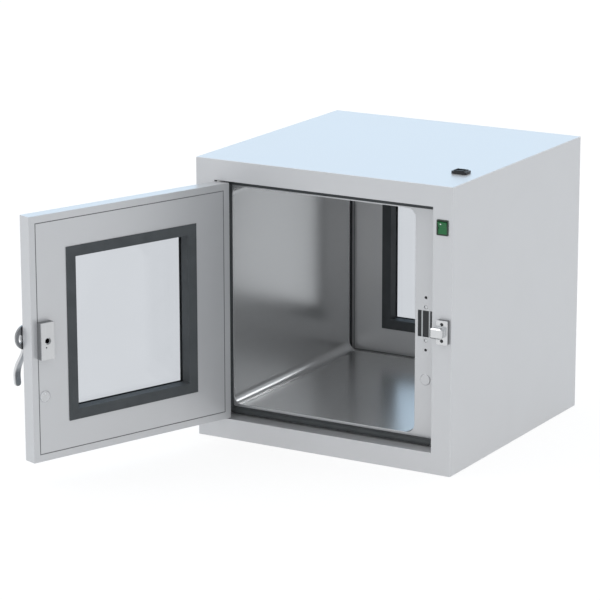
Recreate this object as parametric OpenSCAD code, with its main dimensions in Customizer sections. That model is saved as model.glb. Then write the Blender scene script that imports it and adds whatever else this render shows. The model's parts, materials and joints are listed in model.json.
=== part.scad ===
// Cleanroom pass box: a sheet-steel transfer cabinet with a coved chamber right through it and an inset
// glazed door at each end. Each door turns on two pivot pins, is drawn shut by a turning lever latch and
// is held by an electromagnet until the other door is shut.
// Origin: middle of the underside. +X runs along the front from the hinge side to the lock side,
// +Y from the front to the rear, +Z up. All sizes in millimetres.

/* [Cabinet] */
// Width of the cabinet across a door face
cab_w = 600; // [560:1:760]
// Depth of the cabinet from the front face to the rear face
cab_d = 590; // [480:1:760]
// Height of the cabinet
cab_h = 600; // [540:1:760]
// Thickness of the casing, frame and flange sheet
sheet = 1.5; // [1:0.1:2]
// Depth of the stiffening fold along a casing panel's edge
panel_fold = 14; // [8:1:20]

/* [Door frames] */
// Width of the frame's face around a door
frame_w = 44; // [40:1:60]
// Depth of the rebate that a door closes into
rebate_d = 46; // [42:1:56]
// Width of the frame's weld lip behind the seal flange
weld_lip = 14; // [8:1:20]

/* [Chamber] */
// Width of the seal flange beside the hinges
strip_hinge = 15; // [14:1:30]
// Width of the seal flange that carries the lock
strip_lock = 63; // [60:1:90]
// Width of the seal flange above and below the chamber
strip_end = 20; // [16:1:40]
// Inside radius of the chamber's coved corners
chamber_r = 20; // [8:1:40]
// Thickness of the chamber liner
liner_t = 1.2; // [0.8:0.1:2]

/* [Doors] */
// Thickness of a door
door_t = 30; // [26:1:34]
// Thickness of a door's sheet
door_sheet = 1.2; // [0.8:0.1:1.4]
// Width of the folded lip around a door's inner face
lip_w = 15; // [10:1:24]
// Width of the seam between the lip and the inner panel
seam = 0.8; // [0.4:0.1:0.9]
// Gap between a door's hinge edge and the frame
gap_hinge = 3; // [3:0.5:5]
// Gap between a door's free edge and the frame
gap_free = 9; // [4:0.5:12]
// Gap above and below a door
gap_end = 3; // [2:0.5:5]
// How far the front door stands open, in degrees
front_open = 110.2; // [0:0.1:111]
// How far the rear door stands open, in degrees
rear_open = 0; // [0:0.1:111]

/* [Window] */
// From a door's side edges to the window frame
window_side = 87.5; // [60:0.5:120]
// From a door's top and bottom edges to the window frame
window_end = 73; // [50:0.5:110]
// Width of the window frame's border
border_w = 22; // [14:0.5:26]
// Thickness of the window frame's border and sleeve
trim_t = 2; // [1:0.1:3]
// Thickness of the glass
glass_t = 6; // [4:0.5:8]
// How far the glass runs under the window frame
glass_edge = 9; // [5:0.5:12]
// Thickness of the bedding seal between the outer skin and the glass
bed_t = 1; // [0.6:0.1:2]

/* [Door seal] */
// Width of the seal around the chamber
seal_w = 12; // [8:0.5:12]
// From the frame's rebate to the seal
seal_in = 3; // [2:0.5:3.5]
// Gap between the seal's crown and a shut door
seal_clear = 1; // [0.8:0.1:1.5]

/* [Hinges] */
// Radius of a hinge pin
pin_r = 2.5; // [2:0.1:2.8]
// Wall of a hinge bush
bush_wall = 1.15; // [0.8:0.05:1.2]
// Length of the pin and bush inside a door
pin_reach = 14; // [10:1:20]
// From a door's hinge edge to the pin's axis
pin_edge = 6; // [5.5:0.1:7]
// From a door's outer face to the pin's axis
pin_face = 5; // [5:0.1:6]
// Running clearance around a pin, bush or axle
run = 0.05; // [0.02:0.01:0.08]

/* [Latch] */
// Height of the latch above the cabinet's underside
latch_z = 299; // [260:1:340]
// From a door's free edge to the lever's axis
hub_in = 9.5; // [9:0.5:16]
// Radius of the lever's hub
hub_r = 9.5; // [9:0.5:12]
// Radius of the lever's spindle
spindle_r = 3.5; // [3:0.5:4]
// Radius of the cam at the start of its rise
cam_r = 23.5; // [22:0.5:27]
// How far the cam's edge rises over a quarter turn
cam_rise = 5; // [3:0.5:8]
// Thickness of the cam plate
cam_t = 4.7; // [3:0.1:6]
// Thickness of the latch's base plate
base_t = 3; // [2:0.5:4]
// Width of the lever
lever_w = 13; // [11:1:18]
// Thickness of the lever
lever_t = 6.5; // [5:0.5:8]
// Length of the lever below its axis
lever_len = 98; // [90:1:130]
// How much nearer the door's free edge the grip lies than the lever's axis
grip_shift = 2.5; // [0:0.5:3]
// How far the lever's middle stands off the door
lever_off = 35.5; // [28:0.5:45]

/* [Strike] */
// Width of the strike
strike_w = 25; // [22:1:26]
// Height of the strike
strike_h = 50; // [46:1:60]
// Thickness of the strike's dark spacer block
spacer_t = 8; // [8:0.5:10]
// Thickness of the strike's face plate
plate_t = 2; // [1.5:0.5:3]
// How much higher the strike's middle lies than the lever's axis
strike_rise = 3.5; // [0:0.5:5]
// Height of the strike's nose
nose_h = 22; // [18:1:26]
// How far the strike's nose stands out from the frame
nose_out = 24; // [20:0.5:28]

/* [Lock] */
// Height of the electromagnet above the cabinet's underside
lock_z = 299.5; // [260:0.5:340]
// From the chamber's lock-side wall to the lock's middle
lock_in = 24.5; // [24:0.5:28]
// Width of the magnet core
core_w = 36; // [30:1:38]
// Height of the magnet core
core_h = 55; // [50:1:60]
// Width of the armature
armature_w = 31; // [28:1:36]
// Height of the armature
armature_h = 76; // [62:1:90]
// Thickness of the armature's steel plate
armature_t = 3; // [2:0.5:4]
// Air gap between the armature and the magnet
air_gap = 0.5; // [0.3:0.1:1]
// Height of the door sensor above the cabinet's underside
sensor_z = 182; // [140:1:190]
// Radius of the door sensor and its magnet
sensor_r = 12; // [9:0.5:14]

/* [Switch and inlet] */
// From the cabinet's top to the middle of the power switch
switch_drop = 84; // [60:1:120]
// Width of the switch's bezel
bezel_w = 26; // [24:1:30]
// Height of the switch's bezel
bezel_h = 32; // [30:1:36]
// How far the rocker tilts to each side, in degrees
rocker_tilt = 8; // [4:0.5:9]
// From the lock-side wall to the middle of the power inlet
inlet_side = 48; // [40:1:60]
// From the front face to the middle of the power inlet
inlet_front = 127; // [90:1:160]
// Length of the inlet's flange
inlet_l = 34; // [32:1:44]
// Width of the inlet's flange
inlet_w = 24; // [24:1:30]

/* [Hidden] */
$fn = 64;

// Colours
paint = [0.78, 0.79, 0.81];
steel = [0.72, 0.73, 0.75];
bright = [0.84, 0.85, 0.87];
dark_metal = [0.36, 0.37, 0.39];
rubber = [0.16, 0.17, 0.18];
resin = [0.74, 0.75, 0.76];
foam = [0.85, 0.83, 0.72];
brass = [0.72, 0.6, 0.33];
acetal = [0.82, 0.82, 0.8];
black = [0.08, 0.08, 0.09];
green = [0.1, 0.5, 0.25];
clear = [0.8, 0.86, 0.9, 0.35];

// The opening in each frame
open_w = cab_w - 2 * frame_w;
open_h = cab_h - 2 * frame_w;
// The chamber, measured from the cabinet's hinge-side bottom corner
chamber_x = frame_w + strip_hinge;
chamber_z = frame_w + strip_end;
chamber_w = open_w - strip_hinge - strip_lock;
chamber_h = open_h - 2 * strip_end;
flange_back = rebate_d + sheet;

// A door: u from its hinge edge, v from its outer face, z from its bottom edge
door_w = open_w - gap_hinge - gap_free;
door_h = open_h - 2 * gap_end;
door_x = frame_w + gap_hinge;
door_z = frame_w + gap_end;
pivot_x = door_x + pin_edge;
bush_r = pin_r + run + bush_wall;

// The window in a door
border_x = door_w - 2 * window_side;
border_z = door_h - 2 * window_end;
sight_w = border_x - 2 * border_w;
sight_h = border_z - 2 * border_w;
sleeve_w = sight_w + 2 * trim_t;
sleeve_h = sight_h + 2 * trim_t;
glass_w = sight_w + 2 * glass_edge;
glass_h = sight_h + 2 * glass_edge;
glass_in = door_sheet + bed_t;
glass_back = glass_in + glass_t;
fit_gap = 0.3;
seal_bend = 4;

// The latch, in a door's own coordinates
hub_u = door_w - hub_in;
hub_z = latch_z - door_z;
cam_gap = 0.3;
cam_in = -base_t - cam_gap;
cam_out = cam_in - cam_t;
slot_in = spindle_r + 6.7;
slot_out = cam_r - 6.5;
slot_half = 34;
cam_low = -74;
lever_turn = 90;
lever_bend_top = 32;
lever_bend_end = lever_len * 0.76;
lever_steps = 26;
lever_return = 2.5;

// The strike, whose nose stops short of the cam's even edge and stands just in front of its face
strike_x = cab_w - frame_w / 2 + 5;
strike_z = latch_z + strike_rise;
strike_out = spacer_t + plate_t;
strike_screw_z = 17;
nose_clear = 1.2;
nose_tip_x = door_x + hub_u + cam_r + nose_clear;
nose_end_x = strike_x + 6.5;
nose_back = -spacer_t - 0.5;
nose_corner = 6;
nose_bevel = 2.8;

// The lock
lock_x = chamber_x + chamber_w + lock_in;
lock_u = lock_x - door_x;
lock_door_z = lock_z - door_z;
sensor_door_z = sensor_z - door_z;
armature_back = rebate_d - air_gap;
core_d = 22;
slot_w = 3;
slot_d = 15;
pole_w = core_w * 0.225;
housing_wall = 3;
sensor_depth = 16;
magnet_screw_past = 7.5;
magnet_hole_past = 27.5;
magnet_screw_z = core_h / 2 + magnet_screw_past;
magnet_hole_z = core_h / 2 + magnet_hole_past;
magnet_hole_r = 3;
magnet_head_r = 3.6;
magnet_screw_in = 14;
housing_h = 2 * magnet_hole_z + 14;
screw_r = 2.2;
bolt_r = 4;
bolt_head_r = 6.5;
bolt_head_t = 4;
bolt_socket_r = 3.4;
bolt_sunk = 7;
bolt_in = 16;
guide_r = 1.5;
guide_u = 4;
guide_drop = 13;

// The switch and the inlet
switch_x = cab_w - frame_w / 2;
switch_z = cab_h - switch_drop;
bezel_t = 2;
body_in = 2;
body_depth = 26;
rocker_w = bezel_w - 6.5;
rocker_h = bezel_h - 6.5;
rocker_y = 3;
axle_r = 1.5;
axle_stub = 1.1;
inlet_x = cab_w - inlet_side;
inlet_flange_t = 5.5;
inlet_rise = 7.5;
inlet_drop = 22;
socket_l = inlet_l - 12;
socket_w = inlet_w - 11;

// ---------- Placing ----------

// The front face's coordinates: x from the hinge-side wall, y from the face into the cabinet, z up
module at_front() translate([-cab_w / 2, -cab_d / 2, 0]) children();
module at_rear() mirror([0, 1, 0]) at_front() children();
module at_both() {
    at_front() children();
    at_rear() children();
}

// A door's coordinates, turned about its pins by its opening angle
module swung(angle) {
    translate([pivot_x, pin_face, 0]) rotate([0, 0, -angle])
        translate([-pin_edge, -pin_face, door_z]) children();
}
module on_front_door() at_front() swung(front_open) children();
module on_rear_door() at_rear() swung(rear_open) children();

// ---------- Shapes ----------

// A 2D outline in x and z, given a thickness from y0 to y1
module upright(y0, y1) translate([0, y1, 0]) rotate([90, 0, 0]) linear_extrude(y1 - y0) children();

// A cylinder along y from y0 to y1
module rod_y(r, y0, y1) translate([0, y1, 0]) rotate([90, 0, 0]) cylinder(r = r, h = y1 - y0);

// A rectangle with round corners, its lower left corner at the origin
module round_rect(w, h, r) {
    translate([r, 0]) square([w - 2 * r, h]);
    translate([0, r]) square([w, h - 2 * r]);
    for (x = [r, w - r], y = [r, h - r]) translate([x, y]) circle(r);
}

module ring(w, h, t) {
    difference() {
        square([w, h]);
        translate([t, t]) square([w - 2 * t, h - 2 * t]);
    }
}

// A 2D profile run round a rectangle of w by h, its corners bent to bend_r at the outer edge. The
// profile's x is the distance inwards from the rectangle's edge, and its y is y.
module bent_ring(w, h, bend_r) {
    for (side = [0:3]) {
        run_l = side % 2 == 0 ? h : w;
        off = side % 2 == 0 ? w / 2 : h / 2;
        translate([w / 2, 0, h / 2]) rotate([0, 90 * side, 0]) {
            translate([-off, 0, bend_r - run_l / 2]) linear_extrude(run_l - 2 * bend_r) children();
            translate([bend_r - off, 0, run_l / 2 - bend_r]) rotate([-90, 0, 0]) rotate([0, 0, 180])
                rotate_extrude(angle = 90) translate([bend_r, 0]) mirror([1, 0]) children();
        }
    }
}

// A screw head with a domed face, along y, its seat at y = 0 and its dome towards -y
module pan_head(r, h) {
    rotate([90, 0, 0]) intersection() {
        cylinder(r = r, h = h);
        translate([0, 0, h - 2 * r]) sphere(2 * r);
    }
}

// ---------- Casing ----------

module folded_panel(w, d) {
    cube([w, d, sheet]);
    for (y = [0, d - sheet])
        translate([panel_fold + 2 * sheet, y, 0])
            cube([w - 2 * panel_fold - 4 * sheet, sheet, panel_fold]);
}

module casing_base() {
    color(paint) at_front() translate([0, sheet, 0]) folded_panel(cab_w, cab_d - 2 * sheet);
}

module casing_top() {
    color(paint) at_front() difference() {
        translate([0, sheet, cab_h]) mirror([0, 0, 1]) folded_panel(cab_w, cab_d - 2 * sheet);
        translate([inlet_x - inlet_l / 2 + 3, inlet_front - inlet_w / 2 + 2, cab_h - 2 * sheet])
            cube([inlet_l - 6, inlet_w - 4, 3 * sheet]);
    }
}

// A side wall, with the inner face of its two folds turned into the cabinet
module side_wall() {
    translate([0, sheet, sheet]) cube([sheet, cab_d - 2 * sheet, cab_h - 2 * sheet]);
    for (y = [sheet, cab_d - 2 * sheet])
        translate([0, y, panel_fold + 2 * sheet])
            cube([panel_fold, sheet, cab_h - 2 * panel_fold - 4 * sheet]);
}

module casing_left_side() color(paint) at_front() side_wall();

// The room for a fitting of height h in a fold of the lock-side wall
module fold_notch(y, z, h) {
    translate([cab_w - 2 * panel_fold, y, z - h / 2])
        cube([2 * panel_fold - 2 * sheet, panel_fold, h]);
}

// The lock-side wall's folds are cut back round the switch and behind the strikes
module casing_right_side() {
    color(paint) at_front() difference() {
        translate([cab_w, 0, 0]) mirror([1, 0, 0]) side_wall();
        fold_notch(0, switch_z, bezel_h);
        for (y = [0, cab_d - panel_fold]) fold_notch(y, strike_z, strike_h);
    }
}

// ---------- Door frames, flanges and liner ----------

// A flat ring in x and z: its outer edge this far from the cabinet's walls, and its width
module frame_ring(inset, w, y0, y1) {
    translate([inset, 0, inset]) upright(y0, y1) ring(cab_w - 2 * inset, cab_h - 2 * inset, w);
}

// The folded frame: its face, its rebate and the weld lip that turns outwards behind the flange
module door_frame(with_switch) {
    difference() {
        union() {
            frame_ring(0, frame_w, 0, sheet);
            frame_ring(frame_w - sheet, sheet, 0, rebate_d);
            frame_ring(frame_w - weld_lip, weld_lip, rebate_d - sheet, rebate_d);
        }
        for (z = [frame_w - 2 * sheet, cab_h - frame_w - sheet])
            translate([pivot_x, pin_face, z]) cylinder(r = pin_r + run, h = 3 * sheet);
        for (z = [-strike_screw_z, strike_screw_z])
            translate([strike_x, 0, strike_z + z]) rod_y(screw_r, -sheet, 2 * sheet);
        if (with_switch)
            translate([switch_x - bezel_w / 2 + body_in, 0, switch_z - bezel_h / 2 + body_in])
                upright(-sheet, 2 * sheet) square([bezel_w - 2 * body_in, bezel_h - 2 * body_in]);
    }
}

module front_frame() color(paint) at_front() door_frame(true);

module rear_frame() color(paint) at_rear() door_frame(false);

module chamber_outline(grow) {
    translate([chamber_x - grow, chamber_z - grow])
        round_rect(chamber_w + 2 * grow, chamber_h + 2 * grow, chamber_r + grow);
}

module seal_flange() {
    difference() {
        upright(rebate_d, flange_back) difference() {
            translate([frame_w - weld_lip, frame_w - weld_lip])
                square([open_w + 2 * weld_lip, open_h + 2 * weld_lip]);
            chamber_outline(0);
            translate([lock_x - core_w / 2 - fit_gap, lock_z - core_h / 2 - fit_gap])
                square([core_w + 2 * fit_gap, core_h + 2 * fit_gap]);
            for (z = [-magnet_screw_z, magnet_screw_z])
                translate([lock_x, lock_z + z]) circle(magnet_head_r + 0.6);
            for (z = [-magnet_hole_z, magnet_hole_z]) translate([lock_x, lock_z + z]) circle(magnet_hole_r);
            translate([lock_x, sensor_z]) circle(sensor_r * 0.6 + fit_gap);
        }
    }
}

module front_seal_flange() color(paint) at_front() seal_flange();

module rear_seal_flange() color(paint) at_rear() seal_flange();

module chamber_liner() {
    color(steel) at_front() upright(flange_back, cab_d - flange_back) difference() {
        chamber_outline(liner_t);
        chamber_outline(0);
    }
}

// The seal's section: a foot on the flange and a round crown towards the door
module seal_section() {
    crown = door_t + seal_clear + seal_w / 2;
    translate([0, crown]) square([seal_w, rebate_d - crown]);
    translate([seal_w / 2, crown]) circle(seal_w / 2);
}

module door_seal() {
    translate([frame_w + seal_in, 0, frame_w + seal_in])
        bent_ring(open_w - 2 * seal_in, open_h - 2 * seal_in, seal_w + seal_bend) seal_section();
}

module front_door_seal() color(rubber) at_front() door_seal();

module rear_door_seal() color(rubber) at_rear() door_seal();

// ---------- Hinges ----------

// Each pin stands in the frame on a head plate and reaches into the door's bush
module hinge_pins() {
    head_t = 4;
    for (top = [0, 1])
        translate([pivot_x, pin_face, top * cab_h]) mirror([0, 0, top]) {
            translate([0, 0, frame_w - sheet - head_t])
                cylinder(r = pin_r, h = head_t + sheet + gap_end + pin_reach);
            translate([-8, sheet - pin_face, frame_w - sheet - head_t]) difference() {
                cube([22, 14, head_t]);
                translate([8, pin_face - sheet, -1]) cylinder(r = pin_r - 0.5, h = head_t + 2);
            }
        }
}

module front_hinge_pins() color(steel) at_front() hinge_pins();

module rear_hinge_pins() color(steel) at_rear() hinge_pins();

module hinge_bushes() {
    collar_t = gap_end - cam_gap;
    for (top = [0, 1])
        translate([pin_edge, pin_face, top * door_h]) mirror([0, 0, top]) difference() {
            union() {
                cylinder(r = bush_r, h = pin_reach + 1);
                translate([0, 0, -collar_t]) cylinder(r = bush_r + 0.8, h = collar_t);
            }
            translate([0, 0, -collar_t - 1]) cylinder(r = pin_r + run, h = pin_reach + collar_t + 3);
        }
}

module front_hinge_bushes() color(acetal) on_front_door() hinge_bushes();

module rear_hinge_bushes() color(acetal) on_rear_door() hinge_bushes();

// ---------- Door panels ----------

module window_hole(w, h, y0, y1) {
    translate([door_w / 2 - w / 2, 0, door_h / 2 - h / 2]) upright(y0, y1) square([w, h]);
}

module door_tray() {
    difference() {
        cube([door_w, door_t, door_h]);
        translate([door_sheet, door_sheet, door_sheet])
            cube([door_w - 2 * door_sheet, door_t - 2 * door_sheet, door_h - 2 * door_sheet]);
        translate([lip_w, door_t / 2, lip_w]) cube([door_w - 2 * lip_w, door_t, door_h - 2 * lip_w]);
        window_hole(sight_w, sight_h, -1, door_t / 2);
        for (z = [-1, door_h - door_sheet - 1])
            translate([pin_edge, pin_face, z]) cylinder(r = bush_r + run, h = 2 + door_sheet);
        translate([hub_u, 0, hub_z]) rod_y(spindle_r + 3 + run, -1, door_t / 2);
        latch_screw_places() rod_y(screw_r, -1, door_t / 2);
    }
}

module front_door_tray() color(paint) on_front_door() door_tray();

module rear_door_tray() color(paint) on_rear_door() door_tray();

module door_inner_panel() {
    edge = lip_w + seam;
    difference() {
        translate([edge, door_t - door_sheet, edge])
            cube([door_w - 2 * edge, door_sheet, door_h - 2 * edge]);
        window_hole(sleeve_w + 2 * fit_gap, sleeve_h + 2 * fit_gap, 0, door_t + 1);
        translate([lock_u, 0, lock_door_z]) rod_y(bolt_r + fit_gap, 0, door_t + 1);
    }
}

module front_door_inner_panel() color(paint) on_front_door() door_inner_panel();

module rear_door_inner_panel() color(paint) on_rear_door() door_inner_panel();

// The stiff filling between a door's two skins
module door_core() {
    edge = door_sheet + fit_gap;
    difference() {
        translate([edge, door_sheet, edge])
            cube([door_w - 2 * edge, door_t - 2 * door_sheet, door_h - 2 * edge]);
        window_hole(glass_w + 2 * fit_gap, glass_h + 2 * fit_gap, 0, glass_back);
        window_hole(sleeve_w + 2 * fit_gap, sleeve_h + 2 * fit_gap, 0, door_t);
        for (z = [0, door_h - pin_reach - 8])
            translate([0, 0, z]) cube([pin_edge + bush_r + 2, pin_face + bush_r + 2, pin_reach + 8]);
        translate([hub_u, 0, hub_z]) rod_y(spindle_r + 3 + run, 0, 14);
        latch_screw_places() rod_y(screw_r, 0, 14);
        translate([lock_u, 0, lock_door_z]) rod_y(bolt_r + fit_gap, door_t - bolt_in - 2, door_t + 1);
    }
}

module front_door_core() color(foam) on_front_door() door_core();

module rear_door_core() color(foam) on_rear_door() door_core();

// ---------- Window ----------

// A flat border on the inner panel and a deep sleeve that holds the glass against its bedding
module window_frame() {
    difference() {
        union() {
            window_hole(border_x, border_z, door_t, door_t + trim_t);
            window_hole(sleeve_w, sleeve_h, glass_back, door_t + trim_t / 2);
        }
        window_hole(sight_w, sight_h, 0, door_t + 2 * trim_t);
    }
}

module front_window_frame() color(rubber) on_front_door() window_frame();

module rear_window_frame() color(rubber) on_rear_door() window_frame();

module window_glass() window_hole(glass_w, glass_h, glass_in, glass_back);

module front_window_glass() color(clear) on_front_door() window_glass();

module rear_window_glass() color(clear) on_rear_door() window_glass();

module window_seal() {
    difference() {
        window_hole(glass_w, glass_h, door_sheet, glass_in);
        window_hole(sight_w - 2, sight_h - 2, 0, door_t);
    }
}

module front_window_seal() color(rubber) on_front_door() window_seal();

module rear_window_seal() color(rubber) on_rear_door() window_seal();

// ---------- Armature and sensor magnet on a door ----------

module armature_slab(v0, v1) {
    translate([lock_u, 0, lock_door_z]) difference() {
        translate([-armature_w / 2, v0, -armature_h / 2]) cube([armature_w, v1 - v0, armature_h]);
        rod_y(bolt_r + fit_gap, v0 - 1, v1 + 1);
        rod_y(bolt_head_r + 0.5, armature_back - bolt_sunk, v1 + 1);
        translate([guide_u, 0, -guide_drop]) rod_y(guide_r, armature_back - bolt_sunk, v1 + 1);
    }
}

module armature_plate() armature_slab(armature_back - armature_t, armature_back);

module front_armature_plate() color(bright) on_front_door() armature_plate();

module rear_armature_plate() color(bright) on_rear_door() armature_plate();

module armature_base() armature_slab(door_t, armature_back - armature_t);

module front_armature_base() color(dark_metal) on_front_door() armature_base();

module rear_armature_base() color(dark_metal) on_rear_door() armature_base();

// A socket-head bolt whose head is sunk in the armature's counterbore
module armature_bolt() {
    seat = armature_back - bolt_sunk;
    translate([lock_u, 0, lock_door_z]) difference() {
        union() {
            rod_y(bolt_r, door_t - bolt_in, seat);
            rod_y(bolt_head_r, seat, seat + bolt_head_t);
        }
        translate([0, seat + bolt_head_t + 1, 0]) rotate([90, 0, 0])
            cylinder(r = bolt_socket_r, h = bolt_head_t, $fn = 6);
    }
}

module front_armature_bolt() color(steel) on_front_door() armature_bolt();

module rear_armature_bolt() color(steel) on_rear_door() armature_bolt();

module sensor_magnet() {
    translate([lock_u, door_t + 3, sensor_door_z]) rotate([90, 0, 0]) rotate_extrude()
        polygon([[0, 0], [sensor_r - 3, 0], [sensor_r - 1.6, 0.3], [sensor_r - 0.6, 1], [sensor_r, 2.2],
            [sensor_r, 3], [0, 3]]);
}

module front_sensor_magnet() color(bright) on_front_door() sensor_magnet();

module rear_sensor_magnet() color(bright) on_rear_door() sensor_magnet();

// ---------- Latch ----------

latch_base_h = 70;
latch_base_w = 28;
latch_screw_z = 28;

module latch_screw_places() {
    for (u = [-8, 4], z = [-latch_screw_z, latch_screw_z])
        translate([hub_u + u, 0, hub_z + z]) children();
}

// The conical head of a latch screw, flush with the base plate's face
module latch_screw_head() {
    translate([0, -base_t, 0]) rotate([-90, 0, 0]) cylinder(r1 = 4, r2 = screw_r - 0.2, h = 2);
}

module latch_base() {
    difference() {
        union() {
            translate([hub_u - latch_base_w + hub_in - 2, 0, hub_z - latch_base_h / 2])
                upright(-base_t, 0) round_rect(latch_base_w, latch_base_h, 5);
            translate([hub_u, 0, hub_z]) rod_y(spindle_r + 3, -base_t, 12);
        }
        translate([hub_u, 0, hub_z]) rod_y(spindle_r + run, -base_t - 1, 13);
        latch_screw_places() {
            rod_y(screw_r, -base_t - 1, 1);
            latch_screw_head();
        }
    }
}

module front_latch_base() color(dark_metal) on_front_door() latch_base();

module rear_latch_base() color(dark_metal) on_rear_door() latch_base();

module latch_screws() {
    latch_screw_places() {
        rod_y(screw_r - 0.2, -base_t, 10);
        latch_screw_head();
    }
}

module front_latch_screws() color(steel) on_front_door() latch_screws();

module rear_latch_screws() color(steel) on_rear_door() latch_screws();

// The cam plate's edge: even up to the level of the hub, then rising over the lever's turn
function cam_edge(a) = a < 0 ? cam_r : cam_r + cam_rise * a / lever_turn;

module cam_outline() {
    polygon(concat([[0, 0]], [for (a = [cam_low:4:lever_turn]) cam_edge(a) * [cos(a), sin(a)]],
        [cam_edge(lever_turn) * [0, 1], [-hub_r, cam_r * 0.6], [-hub_r, 0]]));
    circle(hub_r);
}

module latch_cam() {
    translate([hub_u, 0, hub_z]) upright(cam_out, cam_in) difference() {
        cam_outline();
        circle(spindle_r + run);
        intersection() {
            difference() {
                circle(slot_out);
                circle(slot_in);
            }
            polygon([[0, 0], 2 * slot_out * [cos(slot_half), -sin(slot_half)],
                2 * slot_out * [cos(slot_half), sin(slot_half)]]);
        }
    }
}

module front_latch_cam() color(bright) on_front_door() latch_cam();

module rear_latch_cam() color(bright) on_rear_door() latch_cam();

// The lever's middle line as seen from its side: how far it stands out at a depth below its axis
function ease(t) = t <= 0 ? 0 : t >= 1 ? 1 : t * t * (3 - 2 * t);
lever_root = cam_out - lever_t / 2 - 1;
function lever_v(s) = lever_root - (lever_off + lever_root)
    * ease((s - lever_bend_top) / (lever_bend_end - lever_bend_top))
    + lever_return * ease((s - lever_bend_end) / (lever_len - lever_bend_end));
function lever_slope(s) = (lever_v(s + 0.5) - lever_v(s - 0.5));
function lever_point(s, side) = let (k = lever_slope(s), n = sqrt(1 + k * k))
    [lever_v(s) + side * lever_t / 2 / n, -s + side * lever_t / 2 * k / n];

// The lever's side view: the middle line with half the thickness to each side
module lever_side() {
    steps = [for (i = [0:lever_steps]) -hub_r + i * (lever_len + hub_r) / lever_steps];
    polygon(concat([for (s = steps) lever_point(s, -1)],
        [for (i = [lever_steps:-1:0]) lever_point(steps[i], 1)]));
}

// The lever's front view: the hub, narrowing to a straight grip with a round end
module lever_front() {
    grip_r = lever_w / 2;
    circle(hub_r);
    translate([grip_shift - grip_r, -lever_len + grip_r]) square([lever_w, lever_len - grip_r]);
    translate([grip_shift, -lever_len + grip_r]) circle(grip_r);
}

module latch_lever() {
    translate([hub_u, 0, hub_z]) {
        intersection() {
            translate([-hub_r - 1, 0, 0]) rotate([90, 0, 90])
                linear_extrude(2 * hub_r + 2 + grip_shift) lever_side();
            upright(-lever_off - lever_len, cam_out) lever_front();
        }
        rod_y(hub_r, cam_out - 1.5, cam_out);
        rod_y(spindle_r, cam_out, 10);
        translate([0, lever_root - lever_t / 2, 0]) pan_head(hub_r - 2, 3);
    }
}

module front_latch_lever() color(bright) on_front_door() latch_lever();

module rear_latch_lever() color(bright) on_rear_door() latch_lever();

// ---------- Strike ----------

// The nose's outline along l and across its depth: square behind, bevelled in front
function bevelled(l) = [[0, nose_back], [0, nose_bevel - nose_out], [nose_bevel, -nose_out],
    [l - nose_bevel, -nose_out], [l, nose_bevel - nose_out], [l, nose_back]];

// A block with round corners whose front edges are bevelled on every side
module strike_nose() {
    nose_l = nose_end_x - nose_tip_x;
    translate([nose_tip_x, 0, strike_z - nose_h / 2]) intersection() {
        upright(-nose_out, nose_back) round_rect(nose_l, nose_h, nose_corner);
        linear_extrude(nose_h) polygon(bevelled(nose_l));
        rotate([90, 0, 90]) linear_extrude(nose_l) polygon([for (p = bevelled(nose_h)) [p[1], p[0]]]);
    }
}

// A face plate on the frame's lock side, with the nose that the cam turns in behind
module strike() {
    strike_nose();
    difference() {
        translate([strike_x - strike_w / 2, 0, strike_z - strike_h / 2])
            upright(-strike_out, -spacer_t) round_rect(strike_w, strike_h, 2);
        for (z = [-strike_screw_z, strike_screw_z]) translate([strike_x, 0, strike_z + z]) {
            rod_y(screw_r, -strike_out - 1, 0);
            rod_y(3.8, -strike_out - 1, -strike_out + 1.2);
        }
    }
}

module front_strike() color(bright) at_front() strike();

module rear_strike() color(bright) at_rear() strike();

module strike_spacers() {
    color(dark_metal) at_both() difference() {
        translate([strike_x - strike_w / 2, 0, strike_z - strike_h / 2])
            upright(-spacer_t, 0) round_rect(strike_w, strike_h, 2);
        for (z = [-strike_screw_z, strike_screw_z])
            translate([strike_x, 0, strike_z + z]) rod_y(screw_r, -spacer_t - 1, 1);
    }
}

module strike_screws() {
    color(dark_metal) at_both() for (z = [-strike_screw_z, strike_screw_z])
        translate([strike_x, 0, strike_z + z]) {
            rod_y(screw_r - 0.2, -strike_out + 1.2, 8);
            translate([0, -strike_out + 1.2, 0]) pan_head(3.5, 1);
        }
}

// ---------- Electromagnets and door sensors ----------

// A laminated E core: a wide middle pole between two coil slots, its poles flush with the flange
module magnet_core() {
    translate([lock_x - core_w / 2, rebate_d, lock_z - core_h / 2]) difference() {
        cube([core_w, core_d, core_h]);
        for (x = [pole_w, core_w - pole_w - slot_w])
            translate([x, -1, -1]) cube([slot_w, slot_d + 1, core_h + 2]);
    }
}

module front_magnet_core() color(dark_metal) at_front() magnet_core();

module rear_magnet_core() color(dark_metal) at_rear() magnet_core();

module magnet_slot_resin() {
    color(resin) at_both() for (x = [pole_w, core_w - pole_w - slot_w])
        translate([lock_x - core_w / 2 + x, rebate_d, lock_z - core_h / 2]) cube([slot_w, slot_d, core_h]);
}

module magnet_housing() {
    deep = core_d - sheet + housing_wall;
    translate([lock_x, flange_back, lock_z]) difference() {
        translate([-core_w / 2 - housing_wall, 0, -housing_h / 2])
            cube([core_w + 2 * housing_wall, deep, housing_h]);
        translate([-core_w / 2, -1, -core_h / 2]) cube([core_w, core_d - sheet + 1, core_h]);
        for (z = [-magnet_screw_z, magnet_screw_z]) translate([0, 0, z]) rod_y(screw_r, -1, magnet_screw_in);
        for (z = [-magnet_hole_z, magnet_hole_z])
            translate([0, 0, z]) rod_y(magnet_hole_r, -1, magnet_screw_in);
    }
}

module front_magnet_housing() color(steel) at_front() magnet_housing();

module rear_magnet_housing() color(steel) at_rear() magnet_housing();

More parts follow.
